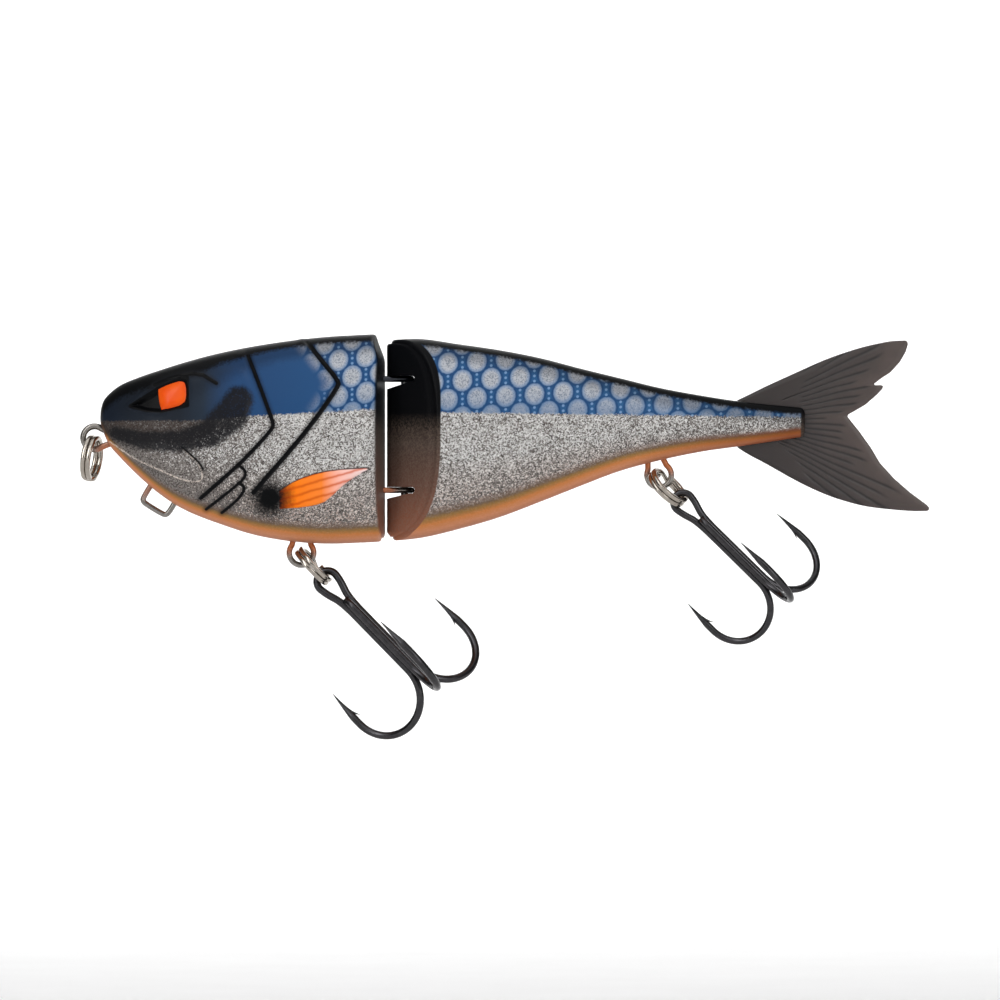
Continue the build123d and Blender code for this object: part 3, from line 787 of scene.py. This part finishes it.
# --- wires
def bent_wire(name, points, radii):
    """Round wire drawn along control points, with one radius or one per point, as a closed mesh."""
    radii = radii if hasattr(radii, "__len__") else [radii] * len(points)
    line = bpy.data.curves.new(name, "CURVE")
    line.dimensions = "3D"
    line.bevel_depth, line.bevel_resolution, line.use_fill_caps = MM, 4, True
    spline = line.splines.new("NURBS")
    spline.points.add(len(points) - 1)
    for control, point, radius in zip(spline.points, points, radii):
        control.co = (*(Vector(point) * MM), 1.0)
        control.radius = radius
    spline.order_u, spline.use_endpoint_u, spline.resolution_u = 3, True, 6
    drawn = bpy.data.objects.new(name, line)
    bpy.context.scene.collection.objects.link(drawn)
    bpy.context.view_layer.update()
    bm = bmesh.new()
    bm.from_mesh(drawn.evaluated_get(bpy.context.evaluated_depsgraph_get()).to_mesh())
    bpy.data.objects.remove(drawn)
    bmesh.ops.remove_doubles(bm, verts=bm.verts, dist=0.001 * MM)
    return to_object(name, bm, smooth_sides=4)


def arc(centre, across, up, radius, start, end, steps):
    """Points on an arc in the plane of two unit vectors, from start to end degrees."""
    return [centre + across * (radius * cos(radians(a))) + up * (radius * sin(radians(a)))
            for a in np.linspace(start, end, steps)]


def hang_line(degrees_below):
    """Unit vector in the centre plane, at an angle below +X."""
    return Vector((cos(radians(degrees_below)), 0, -sin(radians(degrees_below))))


def overspray(piece, amount):
    """Stores how much overspray each point carries, from 0 to 1."""
    store(piece, "overspray", np.clip(amount(vertex_places(piece)), 0, 1))


def looped_wire(name, centre, down, loop_r, wire_r, leg_half, leg_length):
    """A wire bent into an eye: down one leg, round the loop, and back up the other, as bent on a former."""
    side = Vector((0, 1, 0)).cross(down).normalized()
    up = -down
    opening = 40
    path = [centre + up * leg_length - side * leg_half, centre + up * (loop_r + 2.0) - side * leg_half]
    path += arc(centre, side, down, loop_r, 180 + opening, -opening, 40)
    path += [centre + up * (loop_r + 2.0) + side * leg_half, centre + up * leg_length + side * leg_half]
    return bent_wire(name, path, wire_r)


loop = joint_place("nose_ring_swing")
tie = looped_wire("nose_line_tie", loop, Vector((-1, 0, 0)), LINE_TIE_R, LINE_TIE_WIRE_R, 0.7, 12.0)
overspray(tie, lambda p: smoothstep(0.5, -2.5, p[2]) * smoothstep(-1.0, 2.2, p[0]) * 0.9)
finish_piece(tie, STAINLESS, "front_section", "stainless_wire", "nose_eye")

# Each hanger: its end, its body, the way its loop points below +X, and how low the overspray reaches.
for end, body, down, sprayed_to in (("front", "front_section", 90, -22.5), ("rear", "rear_section", 76, -6.0)):
    loop = joint_place(end + "_ring_swing")
    hanger = looped_wire(end + "_hanger_wire", loop, hang_line(down), HANGER_R, WIRE_R, 1.3, 8.8)
    overspray(hanger, lambda p, level=sprayed_to: smoothstep(level - 2.6, level + 0.4, p[2]) * 0.95)
    finish_piece(hanger, STAINLESS, body, "stainless_wire", end + "_hook_hanger")

# Chin staple: square, its legs at right angles to the chin line.
chin_turn = Matrix.Rotation(radians(31.4), 3, "Y")
staple_path = [Vector((x, 0, z)) for x, z in ((-3.02, 4.4), (-3.02, 0), (-3.02, -3.5), (3.02, -3.5), (3.02, 0),
                                              (3.02, 4.4))]
corner_path = []
for before, here, after in zip(staple_path, staple_path[1:], staple_path[2:]):
    into, out = (before - here).normalized(), (after - here).normalized()
    corner_path += [here + into * 0.9, here + (into + out) * 0.26, here + out * 0.9] if here.z < -1 else [here]
staple_path = [Vector((13.9, 0, -11.5)) + chin_turn @ point
               for point in [staple_path[0]] + corner_path + [staple_path[-1]]]
staple = bent_wire("chin_staple_wire", staple_path, WIRE_R * 0.97)
overspray(staple, lambda p: 0.5 * smoothstep(-13.5, -10.5, p[2]))
finish_piece(staple, STAINLESS, "front_section", "stainless_wire", "chin_staple")

# Hinge eyes: a U of wire round the pin, sprayed black above and orange below with the body.
for level, node in ((UPPER_EYE_Z, "hinge_eye_upper"), (LOWER_EYE_Z, "hinge_eye_lower")):
    pin = Vector((PIN_X, 0, level))
    bow = arc(pin, Vector((1, 0, 0)), Vector((0, 1, 0)), 1.45, 90, -90, 28)
    legs = [Vector((PIN_X - 9.4, 1.45, level))] + bow + [Vector((PIN_X - 9.4, -1.45, level))]
    eye = bent_wire(node + "_wire", legs, WIRE_R)
    overspray(eye, lambda p: 0.85 * smoothstep(PIN_X - 0.6, PIN_X - 3.0, p[0]) if level < 0 else p[0] * 0)
    finish_piece(eye, STAINLESS if level < 0 else DARK_STEEL, "front_section", "stainless_wire", node)


# --- split rings
def split_ring(name, centre, axis, start_turn):
    """Two coils of flattened spring wire, spun about the ring's axis, crossing over where it opens."""
    half_axial, coil = 0.49, 0.52
    middle_r = RING_OUTER_R - RING_HALF_RADIAL
    bm = bmesh.new()
    section = bmesh.ops.create_circle(bm, segments=20, radius=1.0)["verts"]
    for vert in section:
        angle = atan2(vert.co.y, vert.co.x)
        reach = (abs(cos(angle)) ** 3.6 + abs(sin(angle)) ** 3.6) ** (-1 / 3.6)
        vert.co = Vector((middle_r + RING_HALF_RADIAL * cos(angle) * reach, 0,
                          half_axial * sin(angle) * reach - coil)) * MM
    ends = [list({edge for vert in section for edge in vert.link_edges})]
    last = ends[0] + section
    # a flat turn, an eased step sideways by one wire, and another flat turn
    crossing = [(5, 1, 2 * coil * sin(pi * (i + 0.5) / 10) * pi / 20) for i in range(10)]
    steps = [(318, 84, 0.0)] + crossing + [(318, 84, 0.0)]
    for angle, count, shift in steps:
        last = bmesh.ops.spin(bm, geom=last, cent=(0, 0, 0), axis=(0, 0, 1), dvec=(0, 0, shift * MM / count),
                              angle=radians(angle), steps=count)["geom_last"]
    ends.append(edges_in(last))
    for end in ends:
        bmesh.ops.holes_fill(bm, edges=end, sides=0)
    bmesh.ops.remove_doubles(bm, verts=bm.verts, dist=0.001 * MM)
    turn = axis.to_track_quat("Z", "X").to_matrix() @ Matrix.Rotation(radians(start_turn), 3, "Z")
    bmesh.ops.transform(bm, matrix=Matrix.Translation(centre * MM) @ turn.to_4x4(), verts=bm.verts)
    return to_object(name, bm, smooth_sides=4)


ring_joints = {"front": ("front_treble_swing", "front_ring", 100), "rear": ("rear_treble_swing", "rear_ring", 60)}
for end, (joint, body, start_turn) in ring_joints.items():
    ring = split_ring(end + "_ring_coils", joint_place(joint), joint_axis(joint), start_turn)
    finish_piece(ring, NICKEL, body, "nickel_ring", end + "_split_ring")
low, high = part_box("nose_split_ring")
nose_axis = Vector((-sin(radians(NOSE_RING_TILT)), 0, -cos(radians(NOSE_RING_TILT))))
nose_axis = Matrix.Rotation(radians(NOSE_RING_OPEN), 3, hang_line(NOSE_RING_TILT)) @ nose_axis
ring = split_ring("nose_ring_coils", (low + high) / 2 / MM, nose_axis, 200)
finish_piece(ring, NICKEL, "nose_ring", "nickel_ring", "nose_split_ring")


# --- treble hooks
def hook_path(roll, wire_r, length, tip_r):
    """One hook from under the eye to its point, as points and radii. The treble hangs along -Z."""
    near = wire_r * 1.17
    bend_r = (tip_r - near) / 2
    bend_z = -(length - 4 * wire_r - bend_r + wire_r)
    barb_z, tip_z = bend_z + 0.12 * tip_r, bend_z + 0.49 * tip_r
    out = Vector((cos(radians(roll)), sin(radians(roll)), 0))
    down = Vector((0, 0, -1))
    points = [out * near + down * depth for depth in (6.6 * wire_r, -bend_z * 0.55, -bend_z - 0.5)]
    points += arc(out * (near + bend_r) + down * -bend_z, -out, down, bend_r, 0, 180, 44)
    radii = [wire_r] * len(points)
    for share in np.linspace(0.05, 1, 16):
        z = bend_z + share * (tip_z - bend_z)
        points.append(out * (tip_r - 0.35 * share ** 2) + Vector((0, 0, z)))
        radii.append(wire_r * min(1.0, 1.02 - max(0.0, (z - barb_z) / (tip_z - barb_z)) ** 0.9 * 0.93))
    return points, radii, out, barb_z


def barb(out, tip_r, wire_r, barb_z):
    """The sliver of steel cut up behind the point."""
    foot = out * (tip_r - 0.1 - 0.5 * wire_r) + Vector((0, 0, barb_z + 0.9 * wire_r))
    tip = foot - out * (1.25 * wire_r) + Vector((0, 0, -1.9 * wire_r))
    path = [foot + Vector((0, 0, 1.6 * wire_r)) + out * 0.2 * wire_r, foot, tip]
    return path, [0.42 * wire_r, 0.36 * wire_r, 0.06 * wire_r]


def treble_frame(end):
    """The treble's place: its eye on the far side of the ring, swung a little round the ring."""
    tilt, ring_tilt, swing = TREBLE_HANG[end]
    joint = end + "_treble_swing"
    centre, along = joint_place(joint), hang_line(tilt)
    eye = centre + hang_line(ring_tilt) * (RING_OUTER_R - RING_HALF_RADIAL) + along * 0.12
    turn = Matrix((Vector((along.z, 0, -along.x)), Vector((0, -1, 0)), -along)).transposed()
    swung = Matrix.Rotation(radians(swing), 3, joint_axis(joint))
    return swung @ turn, centre + swung @ (eye - centre)


def placed_wire(name, treble, points, radii):
    """A wire drawn in a treble's own frame and put in its place."""
    turn, eye = treble
    return bent_wire(name, [eye + turn @ Vector(point) for point in points], radii)


def join(name, parts):
    """Joins finished wires into one piece."""
    bm = bmesh.new()
    for part in parts:
        bm.from_mesh(part.data)
        bpy.data.objects.remove(part)
    return to_object(name, bm, smooth_sides=4)


for end, scale in (("front", 1.0), ("rear", REAR_TREBLE_SCALE)):
    wire_r, length, tip_r = [scale * size for size in (TREBLE_WIRE_R, TREBLE_LENGTH, TREBLE_R)]
    treble = treble_frame(end)
    hooks = [hook_path(roll, wire_r, length, tip_r) for roll in HOOK_ROLLS]
    barbs = [placed_wire("barb", treble, *barb(out, tip_r, wire_r, barb_z)) for _, _, out, barb_z in hooks]
    eye_r, waist = 2.75 * wire_r, 2.35 * wire_r
    eye_path = [Vector((waist, 0, -0.95 * eye_r))]
    eye_path += arc(Vector(), Vector((1, 0, 0)), Vector((0, 0, 1)), eye_r, -8, 188, 36)
    eye_path += [Vector((-waist, 0, -0.95 * eye_r))]
    # The double hook is one wire: point, bend, shank, eye, shank, bend, point.
    (first, first_radii), (second, second_radii), (third, third_radii) = [hook[:2] for hook in hooks]
    points = first[::-1] + eye_path + second
    radii = first_radii[::-1] + [wire_r] * len(eye_path) + second_radii
    double = join(end + "_double_hook_wire", [placed_wire("double", treble, points, radii)] + barbs[:2])
    single = join(end + "_single_hook_wire", [placed_wire("single", treble, third, third_radii), barbs[2]])
    for piece, kind in ((double, "double"), (single, "single")):
        finish_piece(piece, BLACK_NICKEL, end + "_treble", "black_nickel_hook", end + "_" + kind + "_hook")


# --- soft tail
FIN_BACK = [(131.3, 7.7), (133.8, 8.9), (137.0, 10.5), (143.4, 13.4), (149.8, 16.3), (156.2, 18.4), (160.1, 19.3),
            (162.6, 19.8), (165.6, 19.9)]
FIN_BELLY = [(131.3, -2.0), (133.8, -3.6), (137.0, -5.2), (143.4, -8.9), (149.8, -11.9), (156.2, -13.8),
             (160.1, -14.4), (166.5, -15.0), (170.0, -14.95)]
FIN_TRAIL = [(170.0, -14.95), (170.4, -14.8), (170.5, -14.3), (170.0, -13.7), (166.5, -11.1), (163.3, -8.3),
             (160.4, -5.1), (158.5, -1.9), (156.2, 1.3), (154.2, 3.8), (153.8, 4.4), (154.0, 4.8), (155.3, 5.5),
             (157.5, 6.8), (159.9, 8.9), (160.9, 10.0), (161.1, 10.6), (160.6, 10.8), (159.5, 10.7), (159.2, 11.0),
             (160.4, 11.95), (162.6, 13.4), (164.5, 15.5), (165.7, 17.6), (166.15, 19.1), (166.0, 19.7),
             (165.6, 19.9)]
FAN_CENTRE, RAY_SPACING = (130.4, 3.86), radians(3.4)


def along_line(points, share):
    """Points at shares of the way along a drawn line."""
    points = np.array(points, float)
    run = np.concatenate([[0], np.cumsum(np.hypot(*np.diff(points, axis=0).T))])
    run /= run[-1]
    return np.stack([np.interp(share, run, points[:, 0]), np.interp(share, run, points[:, 1])], axis=1)


def soft_tail():
    """The one-piece fin: a sheet fanned from the root to the forked edge, grooved along its rays."""
    across, reach = 300, 130
    bm = bmesh.new()
    bmesh.ops.create_grid(bm, x_segments=across, y_segments=reach, size=1.0)
    copied = bmesh.ops.extrude_face_region(bm, geom=bm.faces[:], use_keep_orig=True)["geom"]
    bmesh.ops.translate(bm, verts=verts_in(copied), vec=(0, 0, 1))
    place = np.array([vert.co[:] for vert in bm.verts])
    t, s = (place[:, 0] + 1) / 2, (place[:, 1] + 1) / 2
    side = np.where(place[:, 2] > 0.5, 1.0, -1.0)
    back = along_line(rounded_line(FIN_BACK, 3), s)
    belly = along_line(rounded_line(FIN_BELLY, 3), s)
    trail = along_line(FIN_TRAIL, t)
    root = along_line([FIN_BELLY[0], FIN_BACK[0]], t)
    corners = (((1 - s) * (1 - t), FIN_BELLY[0]), ((1 - s) * t, FIN_BACK[0]),
               (s * (1 - t), FIN_BELLY[-1]), (s * t, FIN_BACK[-1]))
    flat = belly * (1 - t)[:, None] + back * t[:, None] + root * (1 - s)[:, None] + trail * s[:, None]
    for weight, corner in corners:
        flat -= weight[:, None] * np.array(corner)
    # Rays: fine grooves, broken and uneven, deepest in the middle of their length.
    fanned = np.arctan2(flat[:, 1] - FAN_CENTRE[1], flat[:, 0] - FAN_CENTRE[0])
    phase = fanned / RAY_SPACING + 0.12 * np.sin(5 * s + 11 * t) + 0.05 * np.sin(19 * s + 5 * t)
    groove = np.exp(-((phase - np.rint(phase)) / 0.17) ** 2)
    rng = np.random.default_rng(7)
    starts, ends = rng.uniform(0.3, 0.5, 80), rng.uniform(0.84, 0.97, 80)
    which = np.clip(np.rint(phase).astype(int) + 40, 0, 79)
    ray = groove * smoothstep(0, 0.05, s - starts[which]) * smoothstep(0, 0.05, ends[which] - s)
    edge = np.clip(np.minimum(np.minimum(t, 1 - t) * 22, (1 - s) * 26), 0, 1)
    thick = (0.9 - 0.45 * s) * (0.35 + 0.65 * np.sqrt(edge)) - 0.16 * ray
    for vert, x, y, z in zip(bm.verts, flat[:, 0], side * thick, flat[:, 1]):
        vert.co = Vector((x, y, z)) * MM
    fin = to_object("soft_tail_fin", bm)
    store(fin, "fin_ray", ray)
    store(fin, "fin_reach", s)
    return fin


tail = soft_tail()
tail.data.materials.append(FIN)
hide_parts("tail_root", "tail_blade")
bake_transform(tail)

for node in ("hinge_pin", "front_keel_weight", "rear_keel_weight"):
    materials = frame["nodes"][node].data.materials
    materials.clear()
    materials.append(PIN_STEEL)


# --- studio
def studio():
    """A pale seamless sweep, soft boxes and a long lens square on to the fish's left side."""
    bm = bmesh.new()
    left, right = [bm.verts.new((x, -2.2, -0.125)) for x in (-3, 3)]
    front_edge = [bm.edges.new((left, right))]
    for back, up in ((3.8, 0), (0.7, 0.075), (0.3, 0.4), (0, 2.05)):
        moved = bmesh.ops.extrude_edge_only(bm, edges=front_edge)["geom"]
        bmesh.ops.translate(bm, verts=verts_in(moved), vec=(0, back, up))
        front_edge = edges_in(moved)
    bmesh.ops.recalc_face_normals(bm, faces=bm.faces)
    bmesh.ops.subdivide_edges(bm, edges=bm.edges, cuts=3, use_grid_fill=True)
    sweep = to_object("pale_sweep", bm)
    material, tree, shader = new_material("pale_paper_sweep")
    fibre = add(tree, "ShaderNodeTexNoise", {"Vector": object_place(tree), "Scale": 40.0}).outputs["Fac"]
    set_inputs(tree, shader, {"Base Color": mix(tree, fibre, "#F6F6F6", "#FDFDFD"), "Roughness": 0.9})
    sweep.data.materials.append(material)

    # Each light: name, place, size in metres (one side or two) and power in watts.
    lights = (("key_softbox", (-0.45, -1.2, 1.05), 1.7, 8.6), ("fill_softbox", (1.0, -1.2, 0.25), 1.2, 3.6),
              ("top_softbox", (0.1, -0.1, 1.2), 1.3, 4.5), ("low_fill", (0.1, -1.3, -0.09), 0.5, 0.25),
              ("backdrop_wash", (0.1, 1.2, 1.3), 1.6, 38.0), ("left_strip", (-0.7, -1.0, 0.55), (0.22, 1.3), 3.6),
              ("right_strip", (0.8, -1.1, 0.45), (0.22, 1.3), 3.2))
    aims = {"backdrop_wash": Vector((0.1, 2.4, 0.1))}
    for name, place, size, power in lights:
        light = bpy.data.lights.new(name, "AREA")
        if isinstance(size, tuple):
            light.shape = "RECTANGLE"
            light.size, light.size_y = size
        else:
            light.size = size
        light.energy = power
        lamp = bpy.data.objects.new(name, light)
        lamp.location = place
        aim = aims.get(name, Vector((0.085, 0, -0.01))) - lamp.location
        lamp.rotation_euler = aim.to_track_quat("-Z", "Y").to_euler()
        bpy.context.scene.collection.objects.link(lamp)
    world = bpy.context.scene.world or bpy.data.worlds.new("studio")
    bpy.context.scene.world = world
    world.use_nodes = True
    background = world.node_tree.nodes["Background"]
    background.inputs["Color"].default_value = (1, 1, 1, 1)
    background.inputs["Strength"].default_value = 0.2

    camera = bpy.data.cameras.new("camera")
    camera.sensor_width = 36
    distance = 1.5
    distance, view_width = 1.5, 0.2043             # metres
    camera.lens = camera.sensor_width * distance / view_width
    holder = bpy.data.objects.new("camera", camera)
    holder.location = (0.0828, -distance, -0.0127)
    holder.rotation_euler = (radians(90), 0, 0)
    bpy.context.scene.collection.objects.link(holder)
    bpy.context.scene.camera = holder
    bpy.context.scene.view_settings.view_transform = "Standard"


studio()
